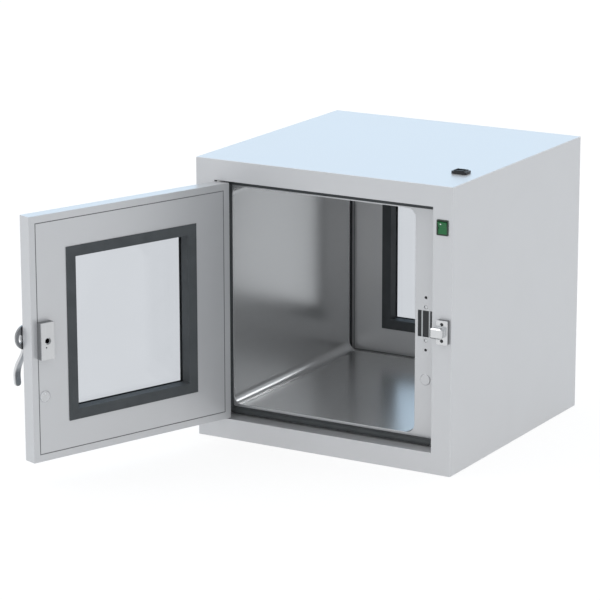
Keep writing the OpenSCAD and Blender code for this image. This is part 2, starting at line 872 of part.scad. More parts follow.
module magnet_screws() {
    color(paint) at_both() for (z = [-magnet_screw_z, magnet_screw_z])
        translate([lock_x, rebate_d, lock_z + z]) {
            rod_y(screw_r - 0.2, sheet, magnet_screw_in);
            translate([0, sheet, 0]) pan_head(magnet_head_r, sheet + 0.3);
        }
}

module door_sensors() {
    body_r = sensor_r * 0.6;
    color(bright) at_both() translate([lock_x, rebate_d, sensor_z]) rotate([-90, 0, 0]) rotate_extrude()
        polygon([[0, -2.2], [sensor_r - 3, -2.2], [sensor_r - 1.6, -1.9], [sensor_r - 0.6, -1.2],
            [sensor_r, 0], [body_r, 0], [body_r, sensor_depth], [0, sensor_depth]]);
}

// ---------- Power switch, inlet and control enclosure ----------

module switch_body() {
    color(black) at_front() translate([switch_x, 0, switch_z]) difference() {
        union() {
            translate([-bezel_w / 2, 0, -bezel_h / 2]) upright(-bezel_t, 0) round_rect(bezel_w, bezel_h, 2);
            translate([-bezel_w / 2 + body_in + 0.1, 0, -bezel_h / 2 + body_in + 0.1])
                cube([bezel_w - 2 * body_in - 0.2, body_depth, bezel_h - 2 * body_in - 0.2]);
        }
        translate([-rocker_w / 2 - fit_gap, -bezel_t - 1, -rocker_h / 2 - fit_gap])
            cube([rocker_w + 2 * fit_gap, bezel_t + 1 + rocker_y + 9, rocker_h + 2 * fit_gap]);
        translate([-bezel_w / 2, rocker_y, 0]) rotate([0, 90, 0]) cylinder(r = axle_r + run, h = bezel_w);
    }
}

// Two pressing faces that meet in a shallow valley, on an axle across the switch
module switch_rocker() {
    half = rocker_h / 2 - 0.6;
    rocker_crest = -bezel_t - rocker_y - 1.4;
    color(green) at_front() translate([switch_x, rocker_y, switch_z]) rotate([rocker_tilt, 0, 0]) {
        translate([-rocker_w / 2, 0, 0]) rotate([90, 0, 90]) linear_extrude(rocker_w)
            polygon([[rocker_crest, half], [-rocker_y - 0.2, 0], [rocker_crest, -half], [0, -half], [3.5, 0],
                [0, half]]);
        translate([-rocker_w / 2 - axle_stub, 0, 0]) rotate([0, 90, 0])
            cylinder(r = axle_r, h = rocker_w + 2 * axle_stub);
    }
}

module inlet_body() {
    color(black) at_front() translate([inlet_x, inlet_front, cab_h]) difference() {
        union() {
            translate([-inlet_l / 2, -inlet_w / 2, 0])
                linear_extrude(inlet_flange_t) round_rect(inlet_l, inlet_w, 3);
            translate([-inlet_l / 2 + 3.2, -inlet_w / 2 + 2.2, -inlet_drop])
                cube([inlet_l - 6.4, inlet_w - 4.4, inlet_drop + 1]);
            rotate([90, 0, 0]) translate([0, 0, -inlet_w / 2 + 2.6]) linear_extrude(inlet_w - 5.2)
                polygon([[2.5 - inlet_l / 2, 0], [5.5 - inlet_l / 2, inlet_rise],
                    [inlet_l / 2 - 5.5, inlet_rise], [inlet_l / 2 - 2.5, 0]]);
        }
        translate([-socket_l / 2, -socket_w / 2, -14]) cube([socket_l, socket_w, 14 + inlet_rise + 1]);
    }
}

module inlet_pins() {
    color(brass) at_front() translate([inlet_x, inlet_front, cab_h - 14])
        for (x = [-7, 0, 7]) translate([x - 1, (x == 0 ? 1.5 : -2.5) - 2, 0]) cube([2, 4, 15]);
}

// The closed box of the interlock's supply and relays, hung under the casing top
module control_enclosure() {
    box_w = 150;
    box_d = 110;
    box_h = 42;
    color(dark_metal) at_front() translate([(cab_w - box_w) / 2, (cab_d - box_d) / 2, cab_h - sheet - box_h])
        linear_extrude(box_h) round_rect(box_w, box_d, 4);
}

casing_top();
casing_base();
casing_left_side();
casing_right_side();
front_frame();
rear_frame();
front_seal_flange();
rear_seal_flange();
chamber_liner();
front_door_seal();
rear_door_seal();
front_hinge_pins();
rear_hinge_pins();
front_magnet_core();
rear_magnet_core();
magnet_slot_resin();
front_magnet_housing();
rear_magnet_housing();
magnet_screws();
door_sensors();
front_strike();
rear_strike();
strike_spacers();
strike_screws();
switch_body();
switch_rocker();
inlet_body();
inlet_pins();
control_enclosure();
front_door_tray();
front_door_inner_panel();
front_door_core();
front_window_frame();
front_window_glass();
front_window_seal();
front_armature_plate();
front_armature_base();
front_armature_bolt();
front_sensor_magnet();
front_hinge_bushes();
front_latch_base();
front_latch_screws();
front_latch_lever();
front_latch_cam();
rear_door_tray();
rear_door_inner_panel();
rear_door_core();
rear_window_frame();
rear_window_glass();
rear_window_seal();
rear_armature_plate();
rear_armature_base();
rear_armature_bolt();
rear_sensor_magnet();
rear_hinge_bushes();
rear_latch_base();
rear_latch_screws();
rear_latch_lever();
rear_latch_cam();
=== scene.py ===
import json
from math import cos, sin

import bpy
import numpy as np
from mathutils import Matrix, Vector


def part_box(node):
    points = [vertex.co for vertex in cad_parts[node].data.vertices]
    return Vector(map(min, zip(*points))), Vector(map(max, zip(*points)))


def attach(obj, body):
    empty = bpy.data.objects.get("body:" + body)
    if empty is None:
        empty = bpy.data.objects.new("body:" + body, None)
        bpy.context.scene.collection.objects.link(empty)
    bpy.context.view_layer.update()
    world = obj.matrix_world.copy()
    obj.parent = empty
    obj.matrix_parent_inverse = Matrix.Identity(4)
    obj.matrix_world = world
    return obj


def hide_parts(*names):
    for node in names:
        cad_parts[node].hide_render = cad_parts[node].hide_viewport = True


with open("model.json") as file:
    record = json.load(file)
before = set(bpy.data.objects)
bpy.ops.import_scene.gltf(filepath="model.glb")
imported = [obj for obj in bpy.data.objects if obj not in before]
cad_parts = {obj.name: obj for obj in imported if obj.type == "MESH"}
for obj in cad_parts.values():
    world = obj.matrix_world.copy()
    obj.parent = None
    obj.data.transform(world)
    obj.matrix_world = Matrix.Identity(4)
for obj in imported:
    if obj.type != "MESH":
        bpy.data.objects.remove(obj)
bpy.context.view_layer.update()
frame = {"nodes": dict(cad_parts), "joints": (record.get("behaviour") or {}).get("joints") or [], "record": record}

# All sizes are in metres. The frame is the part's own: X across the front, Y to the rear, Z up.

# ---------- Colours, as scene-linear values ----------

STEEL = (0.60, 0.605, 0.617)
CHAMBER = (0.60, 0.603, 0.603)
BRIGHT = (0.64, 0.648, 0.658)
BLACK_RUBBER = (0.045, 0.050, 0.053)
WINDOW_RUBBER = (0.074, 0.081, 0.086)
# a painted highlight
HIGHLIGHT_WHITE = (0.95, 0.96, 0.95)
# shade painted into a bolt's socket
SOCKET_PAINTED_SHADE = (0.004, 0.004, 0.005)
GLASS_TINT = (0.785, 0.797, 0.815)
GLASS_TINT_FOR_LIGHT = (0.885, 0.895, 0.905)
GROUND_LIGHT = (0.90, 0.915, 0.93)
SKY_LIGHT = (0.92, 0.94, 0.96)
FLOOR_DARK, FLOOR_PALE = (0.80, 0.81, 0.82), (0.83, 0.84, 0.85)

# ---------- Light and view ----------

# Round patches of the surroundings: direction, cosine at the faint rim, cosine where it is full, colour.
# Left, right and behind are as seen from the front.
LIGHT_PATCHES = (
    ((-0.47, 0.80, 0.37), 0.70, 0.90, (1.02, 1.28, 1.52)),      # a pale blue wall, behind and to the left
    ((0.26, 0.83, 0.49), 0.9925, 0.9962, (5.5, 5.5, 5.5)),      # a small bright lamp, behind and above
    ((-0.49, -0.25, 0.835), 0.955, 0.985, (2.8, 2.8, 2.8)),     # a ceiling lamp, over the front left
    ((0.92, 0.35, -0.1), 0.6, 0.95, (0.67, 0.68, 0.69)),        # a duller wall, to the right
)
HORIZON = (-0.06, 0.10)                             # heights where the ground's light ends and the sky's is full
FLOOR_HALF, FLOOR_DROP = 6.0, 0.0005                # half its width, and how far it lies below the cabinet
FLOOR_GLOW, FLOOR_WHITE = 0.8, 1.08                 # share of plain white in what is seen of it, and its strength
VIEW_FROM = (2.9210, -5.3517, 1.8459)
VIEW_TURN, VIEW_RISE, VIEW_ROLL = 0.5313381, 0.2536728, -0.00216264     # radians
VIEW_LENS, VIEW_SENSOR, VIEW_END = 176.885, 36.0, 50.0                  # millimetres, millimetres, metres

# ---------- Sizes of the looks and of the pieces made here ----------

GRAIN_HEIGHT, PEBBLE_HEIGHT = 0.0002, 0.0001        # the bumps of brushed metal and of moulded plastic
NOISE_LOW, NOISE_HIGH = 0.3, 0.7                    # the range that holds most of a noise
EDGE_FAINT, EDGE_FULL, EDGE_STEEPNESS = 0.995, 0.8, 4.0         # cosines of flat to rounded normal, and a gain
SPECK_RATE, SPECK_CORE, SPECK_RIM = 9.0, 0.02, 0.06             # specks for each cloud, and their radii in cells
SPECK_SHARE, SPECK_SHADE = 0.03, 0.6                # how strong a speck is, and how much of the colour it keeps
PAINTED_SHADE_KEPT, PAINTED_SHADE_ROUGHNESS = 0.42, 0.2              # colour kept, and roughness added, where shade is painted on a lever's face towards the door
SOCKET_RADIUS, SPOT_RIM = 0.0056, 0.0003            # a bolt's socket with painted shade, and the soft rim of any spot
ROCKER_HIGHLIGHT = ((0.2746, -0.2985, 0.5232), 0.0014)    # middle and radius of a painted highlight on the rocker
LEVER_WIDTH, LEVER_THICK, LEVER_LENGTH = 0.015, 0.0075, 0.1055
LEVER_HUB, LEVER_NECK, LEVER_ROUND = 0.0095, 0.004, 0.0026      # the hub's radius, half the neck, corner radius
LEVER_SHIFT, LEVER_ROOT, LEVER_REACH = 0.0025, 0.01275, 0.0349  # grip's offset, middle line at the hub and grip
LEVER_END, LEVER_BACK = 0.0025, 0.0025              # length of the thinned end, and how far the grip curves back
# Where each change along the lever starts below the hub's axis, and over what length it happens
WIDENING, SWING_OUT, CURVE_BACK, SHADING_ALONG = (0.024, 0.038), (0.022, 0.061), (0.083, 0.03), (0.062, 0.016)
SHADE_NECK, SHADE_DEPTH = 0.4, (0.55, 0.4)            # painted shade above the grip, and where it comes in from the side
# Radius and distance from the door's outer face, from the spindle's buried end to its cap
SPINDLE_PROFILE = ((0.0005, -0.010), (0.0035, -0.010), (0.0035, 0.0078), (0.0093, 0.0079),
                   (0.0095, 0.0081), (0.0095, 0.0120), (0.0077, 0.0160), (0.0075, 0.0184))
CAP_RADIUS, CAP_FOOT, CAP_RISE = 0.0075, 0.0184, 0.0012
JOINT_OUT, HUB_IN = 0.008, 0.0095                   # from a door's outer face and free edge to its lever's joint
DOOR_WIDTH, DOOR_THICK = 0.500, 0.030
SEAM_IN, SEAM_HALF, SEAM_PROUD = 0.0154, 0.001, 0.00005         # from the door's edge, and the half sizes of the bead of painted shade


# ---------- Shader helpers ----------

def put(tree, kind, **sockets):
    """A node of this kind, with constants or links on its named inputs."""
    node = tree.nodes.new(kind)
    for name, value in sockets.items():
        feed(tree, node, name.replace("_", " "), value)
    return node


def feed(tree, node, key, value):
    """Sets one input of a node, by name or number, to a constant, or links it to an output socket."""
    socket = node.inputs[key]
    if isinstance(value, bpy.types.NodeSocket):
        tree.links.new(value, socket)
    elif hasattr(socket.default_value, "__len__") and len(socket.default_value) == 4 and len(value) == 3:
        socket.default_value = (*value, 1.0)
    else:
        socket.default_value = value


def maths(tree, operation, a, b, clamp=False):
    """Arithmetic on two numbers, each a constant or an output socket."""
    node = tree.nodes.new("ShaderNodeMath")
    node.operation = operation
    node.use_clamp = clamp
    feed(tree, node, 0, a)
    feed(tree, node, 1, b)
    return node.outputs[0]


def measure(tree, operation, a, b):
    """One number from two vectors, such as their dot product or the distance between them."""
    node = tree.nodes.new("ShaderNodeVectorMath")
    node.operation = operation
    feed(tree, node, 0, a)
    feed(tree, node, 1, b)
    return node.outputs["Value"]


def blend_colour(tree, share, a, b):
    """Colour a where the share is nought, and b where it is one."""
    node = tree.nodes.new("ShaderNodeMix")
    node.data_type = "RGBA"
    for index, value in ((0, share), (6, a), (7, b)):
        feed(tree, node, index, value)
    return node.outputs[2]


def blend_shaders(tree, share, a, b, surface):
    """Sends shader a, mixed with b by the share, to a surface input."""
    mix = tree.nodes.new("ShaderNodeMixShader")
    for index, value in enumerate((share, a.outputs[0], b.outputs[0])):
        tree.links.new(value, mix.inputs[index])
    tree.links.new(mix.outputs[0], surface)


def remap(tree, value, low, high, to_low, to_high):
    """A number moved from one range to another, and held at the new range's ends."""
    return put(tree, "ShaderNodeMapRange", Value=value, From_Min=low, From_Max=high,
               To_Min=to_low, To_Max=to_high).outputs[0]


def spread(tree, noise, to_low, to_high):
    """A noise spread over another range, and held at its ends."""
    return remap(tree, noise, NOISE_LOW, NOISE_HIGH, to_low, to_high)


def scaled(colour, factor):
    """A colour times a factor, held at 1."""
    return tuple(min(1.0, c * factor) for c in colour)


def new_group(name, inputs, outputs):
    """A shader node group with named sockets. Returns its tree and its two end nodes."""
    tree = bpy.data.node_groups.new(name, "ShaderNodeTree")
    for socket_name, kind, default in inputs:
        socket = tree.interface.new_socket(socket_name, in_out="INPUT", socket_type=kind)
        if default is not None:
            socket.default_value = default
    for socket_name, kind in outputs:
        tree.interface.new_socket(socket_name, in_out="OUTPUT", socket_type=kind)
    return tree, tree.nodes.new("NodeGroupInput").outputs, tree.nodes.new("NodeGroupOutput").inputs


def brushed_grain_group():
    """Fine streaks along one axis, as left by a belt or a roller, with their bump."""
    tree, given, out = new_group(
        "Brushed grain",
        [("Stretch", "NodeSocketVector", (600.0, 600.0, 12.0)), ("Depth", "NodeSocketFloat", 0.1),
         ("Normal", "NodeSocketVector", None)],
        [("Streak", "NodeSocketFloat"), ("Normal", "NodeSocketVector")])
    place = tree.nodes.new("ShaderNodeTexCoord").outputs["Object"]
    scaled = put(tree, "ShaderNodeMapping", Vector=place, Scale=given["Stretch"]).outputs[0]
    fine = put(tree, "ShaderNodeTexNoise", Vector=scaled, Scale=1.0, Detail=4.0, Roughness=0.65).outputs["Fac"]
    half = put(tree, "ShaderNodeMapping", Vector=scaled, Scale=(0.21, 0.21, 0.3)).outputs[0]
    broad = put(tree, "ShaderNodeTexNoise", Vector=half, Scale=1.0, Detail=2.0, Roughness=0.5).outputs["Fac"]
    streak = maths(tree, "ADD", maths(tree, "MULTIPLY", fine, 0.62), maths(tree, "MULTIPLY", broad, 0.38))
    bump = put(tree, "ShaderNodeBump", Strength=given["Depth"], Distance=GRAIN_HEIGHT, Height=streak,
               Normal=given["Normal"])
    tree.links.new(streak, out["Streak"])
    tree.links.new(bump.outputs[0], out["Normal"])
    return tree


def handled_surface_group():
    """Slow, cloudy variation from wiping and handling, and a few small specks."""
    tree, given, out = new_group(
        "Handled surface", [("Size", "NodeSocketFloat", 0.12)],
        [("Cloud", "NodeSocketFloat"), ("Speck", "NodeSocketFloat")])
    place = tree.nodes.new("ShaderNodeTexCoord").outputs["Object"]
    rate = maths(tree, "DIVIDE", 1.0, given["Size"])
    cloud = put(tree, "ShaderNodeTexNoise", Vector=place, Scale=rate, Detail=5.0, Roughness=0.55,
                Distortion=0.6).outputs["Fac"]
    dots = put(tree, "ShaderNodeTexVoronoi", Vector=place, Scale=maths(tree, "MULTIPLY", rate, SPECK_RATE),
               Randomness=1.0).outputs["Distance"]
    tree.links.new(cloud, out["Cloud"])
    tree.links.new(remap(tree, dots, SPECK_CORE, SPECK_RIM, 1.0, 0.0), out["Speck"])
    return tree


def folded_edge_group():
    """A rounded normal along sharp edges, and a mask of where those edges are."""
    tree, given, out = new_group(
        "Folded edge", [("Radius", "NodeSocketFloat", 0.001)],
        [("Normal", "NodeSocketVector"), ("Edge", "NodeSocketFloat")])
    rounded = tree.nodes.new("ShaderNodeBevel")
    rounded.samples = 6
    tree.links.new(given["Radius"], rounded.inputs["Radius"])
    flat = tree.nodes.new("ShaderNodeNewGeometry").outputs["Normal"]
    along = measure(tree, "DOT_PRODUCT", rounded.outputs[0], flat)
    tree.links.new(rounded.outputs[0], out["Normal"])
    tree.links.new(remap(tree, along, EDGE_FAINT, EDGE_FULL, 0.0, 1.0), out["Edge"])
    return tree


def moulded_texture_group():
    """The fine pebbled face of moulded plastic or rubber."""
    tree, given, out = new_group(
        "Moulded texture",
        [("Size", "NodeSocketFloat", 0.0012), ("Depth", "NodeSocketFloat", 0.2),
         ("Normal", "NodeSocketVector", None)],
        [("Pebble", "NodeSocketFloat"), ("Normal", "NodeSocketVector")])
    place = tree.nodes.new("ShaderNodeTexCoord").outputs["Object"]
    rate = maths(tree, "DIVIDE", 1.0, given["Size"])
    pebble = put(tree, "ShaderNodeTexNoise", Vector=place, Scale=rate, Detail=2.0, Roughness=0.5).outputs["Fac"]
    bump = put(tree, "ShaderNodeBump", Strength=given["Depth"], Distance=PEBBLE_HEIGHT, Height=pebble,
               Normal=given["Normal"])
    tree.links.new(pebble, out["Pebble"])
    tree.links.new(bump.outputs[0], out["Normal"])
    return tree


GRAIN = brushed_grain_group()
HANDLED = handled_surface_group()
FOLD = folded_edge_group()
MOULDED = moulded_texture_group()


def use(tree, group, **sockets):
    """Puts a shader group in a tree, sets its inputs and returns its outputs."""
    node = tree.nodes.new("ShaderNodeGroup")
    node.node_tree = group
    for name, value in sockets.items():
        feed(tree, node, name, value)
    return node.outputs


def fresh_material(name):
    """A new material, with its tree and its shader."""
    material = bpy.data.materials.new(name)
    material.use_nodes = True
    return material, material.node_tree, material.node_tree.nodes["Principled BSDF"]


def spot(tree, base, centre, radius, colour):
    """A round patch of another colour about one point of the piece."""
    away = measure(tree, "DISTANCE", tree.nodes.new("ShaderNodeTexCoord").outputs["Object"], centre)
    return blend_colour(tree, remap(tree, away, radius, radius + SPOT_RIM, 1.0, 0.0), base, colour)


def edge_highlight_and_specks(tree, base, colour, fold, age, edge_highlight):
    """The base colour with a painted highlight along folded edges and a few faint dark specks."""
    # Painted highlight: folded edges lighter in colour
    edge = maths(tree, "MULTIPLY", fold["Edge"], edge_highlight * EDGE_STEEPNESS, clamp=True)
    base = blend_colour(tree, edge, base, scaled(colour, 1.0 + edge_highlight))
    speck = maths(tree, "MULTIPLY", age["Speck"], SPECK_SHARE)
    return blend_colour(tree, speck, base, scaled(colour, SPECK_SHADE))


def metal(name, colour, rough, stretch=(900.0, 900.0, 14.0), depth=0.05, radius=0.0008, streak=0.05,
          cloud=0.05, edge_highlight=0.1, cloud_size=0.14, metallic=1.0, painted_shade_mark=None, sockets=()):
    """Satin sheet or turned metal: streaks, cloudy roughness and folded edges lightened by a painted highlight.

    painted_shade_mark names an attribute that is one where shade is painted in, darker and rougher. sockets holds
    the middle of each recess whose shade is painted in as a black spot.
    """
    material, tree, shader = fresh_material(name)
    fold = use(tree, FOLD, Radius=radius)
    grain = use(tree, GRAIN, Stretch=stretch, Depth=depth, Normal=fold["Normal"])
    age = use(tree, HANDLED, Size=cloud_size)
    base = blend_colour(tree, spread(tree, grain["Streak"], 0.0, 1.0), scaled(colour, 1.0 - streak),
                        scaled(colour, 1.0 + streak))
    base = edge_highlight_and_specks(tree, base, colour, fold, age, edge_highlight)
    roughness = maths(tree, "ADD", spread(tree, age["Cloud"], rough - cloud, rough + cloud),
                      spread(tree, grain["Streak"], -0.02, 0.02))
    # Painted shade: darker and rougher where the mark is one
    if painted_shade_mark:
        mark = tree.nodes.new("ShaderNodeAttribute")
        mark.attribute_name = painted_shade_mark
        base = blend_colour(tree, mark.outputs["Fac"], base, scaled(colour, PAINTED_SHADE_KEPT))
        roughness = maths(tree, "ADD", roughness,
                          maths(tree, "MULTIPLY", mark.outputs["Fac"], PAINTED_SHADE_ROUGHNESS))
    # Painted shade: a black spot in each bolt's socket
    for centre in sockets:
        base = spot(tree, base, centre, SOCKET_RADIUS, SOCKET_PAINTED_SHADE)
    feed(tree, shader, "Base Color", base)
    feed(tree, shader, "Roughness", roughness)
    feed(tree, shader, "Normal", grain["Normal"])
    shader.inputs["Metallic"].default_value = metallic
    return material


def coated_sheet(name, colour, rough, flake=0.45, radius=0.0014, peel=0.03, edge_highlight=0.2):
    """Sheet under a satin coat with fine flake: a faint orange peel, slow clouding and folds lightened by a
    painted highlight.
    """
    material, tree, shader = fresh_material(name)
    fold = use(tree, FOLD, Radius=radius)
    texture = use(tree, MOULDED, Size=0.0022, Depth=peel, Normal=fold["Normal"])
    age = use(tree, HANDLED, Size=0.16)
    base = blend_colour(tree, spread(tree, age["Cloud"], 0.0, 1.0), scaled(colour, 0.985), scaled(colour, 1.015))
    base = edge_highlight_and_specks(tree, base, colour, fold, age, edge_highlight)
    feed(tree, shader, "Base Color", base)
    feed(tree, shader, "Roughness", maths(tree, "ADD", spread(tree, age["Cloud"], rough - 0.02, rough + 0.02),
                                          spread(tree, texture["Pebble"], -0.01, 0.01)))
    feed(tree, shader, "Normal", texture["Normal"])
    shader.inputs["Metallic"].default_value = flake
    shader.inputs["Specular IOR Level"].default_value = 0.4
    return material


def soft_plastic(name, colour, rough, size=0.0012, depth=0.2, radius=0.0004, edge_sheen_and_tone=0.35, specular=0.4, dot=None):
    """Rubber or moulded plastic with a pebbled face, edges greyed by a painted sheen and perhaps one white dot of
    painted highlight.
    """
    material, tree, shader = fresh_material(name)
    fold = use(tree, FOLD, Radius=radius)
    texture = use(tree, MOULDED, Size=size, Depth=depth, Normal=fold["Normal"])
    age = use(tree, HANDLED, Size=0.06)
    grey = tuple(c + 0.03 * edge_sheen_and_tone for c in colour)
    base = blend_colour(tree, spread(tree, age["Cloud"], 0.0, 1.0), scaled(colour, 0.9), grey)
    # Painted sheen: rounded edges lighter
    base = blend_colour(tree, maths(tree, "MULTIPLY", fold["Edge"], edge_sheen_and_tone, clamp=True), base,
                        tuple(c * 1.35 + 0.01 for c in colour))
    # Painted highlight: a white dot
    if dot:
        base = spot(tree, base, *dot, HIGHLIGHT_WHITE)
    feed(tree, shader, "Base Color", base)
    feed(tree, shader, "Roughness", spread(tree, texture["Pebble"], rough - 0.06, rough + 0.06))
    feed(tree, shader, "Normal", texture["Normal"])
    shader.inputs["Specular IOR Level"].default_value = specular
    return material


def tinted_glass(name):
    """A flat pane that darkens what is behind it and mirrors a little, more at a slant."""
    material, tree, shader = fresh_material(name)
    tree.nodes.remove(shader)
    age = use(tree, HANDLED, Size=0.2)
    tint = blend_colour(tree, spread(tree, age["Cloud"], 0.0, 1.0), scaled(GLASS_TINT, 0.985), GLASS_TINT)
    looked_at = tree.nodes.new("ShaderNodeLightPath").outputs["Is Camera Ray"]
    tint = blend_colour(tree, looked_at, GLASS_TINT_FOR_LIGHT, tint)
    through = put(tree, "ShaderNodeBsdfTransparent", Color=tint)
    mirror = put(tree, "ShaderNodeBsdfGlossy", Color=(1.0, 1.0, 1.0),
                 Roughness=spread(tree, age["Cloud"], 0.02, 0.06))
    slant = put(tree, "ShaderNodeFresnel", IOR=1.3).outputs[0]
    blend_shaders(tree, slant, through, mirror, tree.nodes["Material Output"].inputs["Surface"])
    return material


def middle(node):
    """The middle of a CAD node's box."""
    low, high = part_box(node)
    return tuple((a + b) / 2 for a, b in zip(low, high))


# The middles of the armature plates, about which the bolts' socket shade is painted
ARMATURES = [middle("front_armature_plate"), middle("rear_armature_plate")]

MATERIALS = {
    # The edge gains below paint a highlight along folded edges
    "cabinet_paint": coated_sheet("satin_cabinet_sheet", STEEL, 0.34, radius=0.0016, edge_highlight=0.3),
    "door_paint": coated_sheet("satin_door_sheet", STEEL, 0.34, radius=0.0012, edge_highlight=0.25),
    "chamber_steel": metal("brushed_chamber_steel", CHAMBER, 0.24, stretch=(900.0, 14.0, 900.0), depth=0.002,
                           streak=0.012, cloud=0.015, cloud_size=0.3, metallic=0.68),
    "seal_rubber": soft_plastic("door_seal_rubber", BLACK_RUBBER, 0.6),
    "window_rubber": soft_plastic("window_frame_rubber", WINDOW_RUBBER, 0.6, size=0.0018, specular=0.2),
    "window_bedding": soft_plastic("window_bedding_rubber", BLACK_RUBBER, 0.7),
    "window_glass": tinted_glass("tinted_pane"),
    "fastener_steel": metal("zinc_fastener", (0.60, 0.61, 0.62), 0.32, radius=0.0003, cloud_size=0.01),
    "dark_screw": metal("black_oxide_screw", (0.05, 0.051, 0.053), 0.4, radius=0.0003, cloud_size=0.01),
    "bush_acetal": soft_plastic("turned_acetal_bush", (0.58, 0.58, 0.56), 0.4, depth=0.05, edge_sheen_and_tone=0.1),
    "core_steel": metal("laminated_core", (0.055, 0.057, 0.060), 0.45, stretch=(60.0, 60.0, 2600.0), depth=0.25,
                        streak=0.2, radius=0.0003),
    "slot_resin": soft_plastic("coil_slot_resin", (0.55, 0.56, 0.57), 0.35, depth=0.08, edge_sheen_and_tone=0.1),
    "housing_aluminium": metal("anodised_magnet_housing", (0.5, 0.505, 0.51), 0.45),
    # The sensor disc's rim gets a strong painted highlight
    "sensor_disc": coated_sheet("satin_sensor_disc", STEEL, 0.26, radius=0.0012, edge_highlight=0.6),
    "strike_steel": metal("satin_strike_steel", BRIGHT, 0.26, radius=0.0006, edge_highlight=0.2),
    # The strike's spacer is darkened to paint the shade on its sides and top
    "dark_block": metal("strike_spacer_painted_shade", (0.24, 0.245, 0.25), 0.45, radius=0.0005),
    "switch_black": soft_plastic("switch_bezel_plastic", (0.018, 0.036, 0.022), 0.35),
    # The rocker carries a white dot of painted highlight
    "switch_green": soft_plastic("green_rocker_plastic", (0.020, 0.150, 0.050), 0.3, depth=0.04, edge_sheen_and_tone=0.1,
                                 specular=0.3, dot=ROCKER_HIGHLIGHT),
    "inlet_black": soft_plastic("inlet_black_plastic", (0.016, 0.017, 0.018), 0.38),
    "pin_brass": metal("plated_inlet_pin", (0.62, 0.5, 0.3), 0.3, radius=0.0002, cloud_size=0.01),
    "enclosure_paint": metal("control_enclosure_sheet", (0.16, 0.165, 0.17), 0.5),
    "door_foam": soft_plastic("door_core_foam", (0.060, 0.060, 0.062), 0.85, size=0.003, depth=0.5),
    # The armature bolts get a black spot of painted shade in their sockets
    "socket_bolt": metal("zinc_socket_bolt", (0.80, 0.81, 0.82), 0.25, radius=0.0003, cloud_size=0.01,
                         sockets=ARMATURES),
    # A dark bead where the seam's shade is painted
    "seam_painted_shade": soft_plastic("seam_painted_shade", (0.17, 0.175, 0.18), 0.6, depth=0.1),
    "armature_steel": metal("ground_armature_face", (0.60, 0.608, 0.618), 0.30, radius=0.0006, edge_highlight=0.2),
    # The armature's base is darkened to paint the shade on its sides
    "armature_dark": metal("armature_spacer_painted_shade", (0.30, 0.305, 0.312), 0.4, radius=0.0006),
    # The latch base is darkened to paint the shade between it and the door
    "latch_dark": metal("latch_base_painted_shade", (0.22, 0.225, 0.23), 0.42, radius=0.0005),
    # The lever's face towards the door gets painted shade through the inner_face mark
    "lever_steel": metal("satin_lever", (0.66, 0.668, 0.68), 0.28, radius=0.0006, edge_highlight=0.15,
                         painted_shade_mark="inner_face"),
    # The cam is darkened to paint the shade on its face towards the door
    "cam_steel": metal("satin_cam_painted_shade", (0.30, 0.306, 0.315), 0.26, radius=0.0006, edge_highlight=0.25),
}


def dress_cad_nodes():
    """Gives every CAD node's material slots the looks made for them."""
    slot_of = {entry["node"]: entry["material_slot"] for entry in frame["record"]["subparts"]}
    for name, node in frame["nodes"].items():
        look = "socket_bolt" if name.endswith("armature_bolt") else slot_of[name]
        for slot in node.material_slots:
            slot.material = MATERIALS[look]


# ---------- Levers and seams ----------

def ease(value, start, length):
    """Nought up to the start, one beyond the length and a smooth cubic between them."""
    t = np.clip((value - start) / length, 0.0, 1.0)
    return t * t * (3.0 - 2.0 * t)


def lever_arm():
    """Sections of the lever's arm, as across, outward and upward distances from the hub.

    s runs down from the top of the hub, which is a disc. Below it the arm narrows to a neck, swings out from the
    door and widens into the grip, which ends in a half round. Each section is a rectangle with rounded corners,
    square to the middle line.
    """
    s = -LEVER_HUB + (LEVER_LENGTH + LEVER_HUB) * (1.0 - np.cos(np.linspace(0.0, np.pi, 100))) / 2.0
    widen = ease(s, *WIDENING)
    disc = np.sqrt(np.clip(LEVER_HUB ** 2 - s ** 2, 0.0, None))
    half = np.where(s < 0.0, disc, np.maximum(disc, LEVER_NECK + (LEVER_WIDTH / 2 - LEVER_NECK) * widen))
    to_end = np.clip((s - LEVER_LENGTH) / (LEVER_WIDTH / 2) + 1.0, 0.0, 1.0)
    half = np.maximum(half * np.sqrt(1.0 - to_end ** 2), 1e-4)[:, None]
    tip = np.clip((s - LEVER_LENGTH) / LEVER_END + 1.0, 0.0, 1.0)
    thick = np.maximum(LEVER_THICK / 2 * np.sqrt(1.0 - tip ** 2), 1e-4)[:, None]
    out = LEVER_ROOT + (LEVER_REACH - LEVER_ROOT) * ease(s, *SWING_OUT) - LEVER_BACK * ease(s, *CURVE_BACK)
    slope = np.gradient(out, s)
    lean = 1.0 / np.hypot(1.0, slope)
    quarter = np.linspace(0.0, np.pi / 2, 9)
    angle = np.concatenate([quarter + turn * np.pi / 2 for turn in range(4)])
    right = np.repeat((1.0, -1.0, -1.0, 1.0), len(quarter))
    outer = np.repeat((1.0, 1.0, -1.0, -1.0), len(quarter))
    corner = np.minimum(LEVER_ROUND, np.minimum(half, thick) * 0.98)
    deep = outer * (thick - corner) + corner * np.sin(angle)
    u = LEVER_SHIFT * widen[:, None] + right * (half - corner) + corner * np.cos(angle)
    v = out[:, None] + deep * lean[:, None]
    w = -s[:, None] + deep * (slope * lean)[:, None]
    return np.stack((u, v, w), -1)


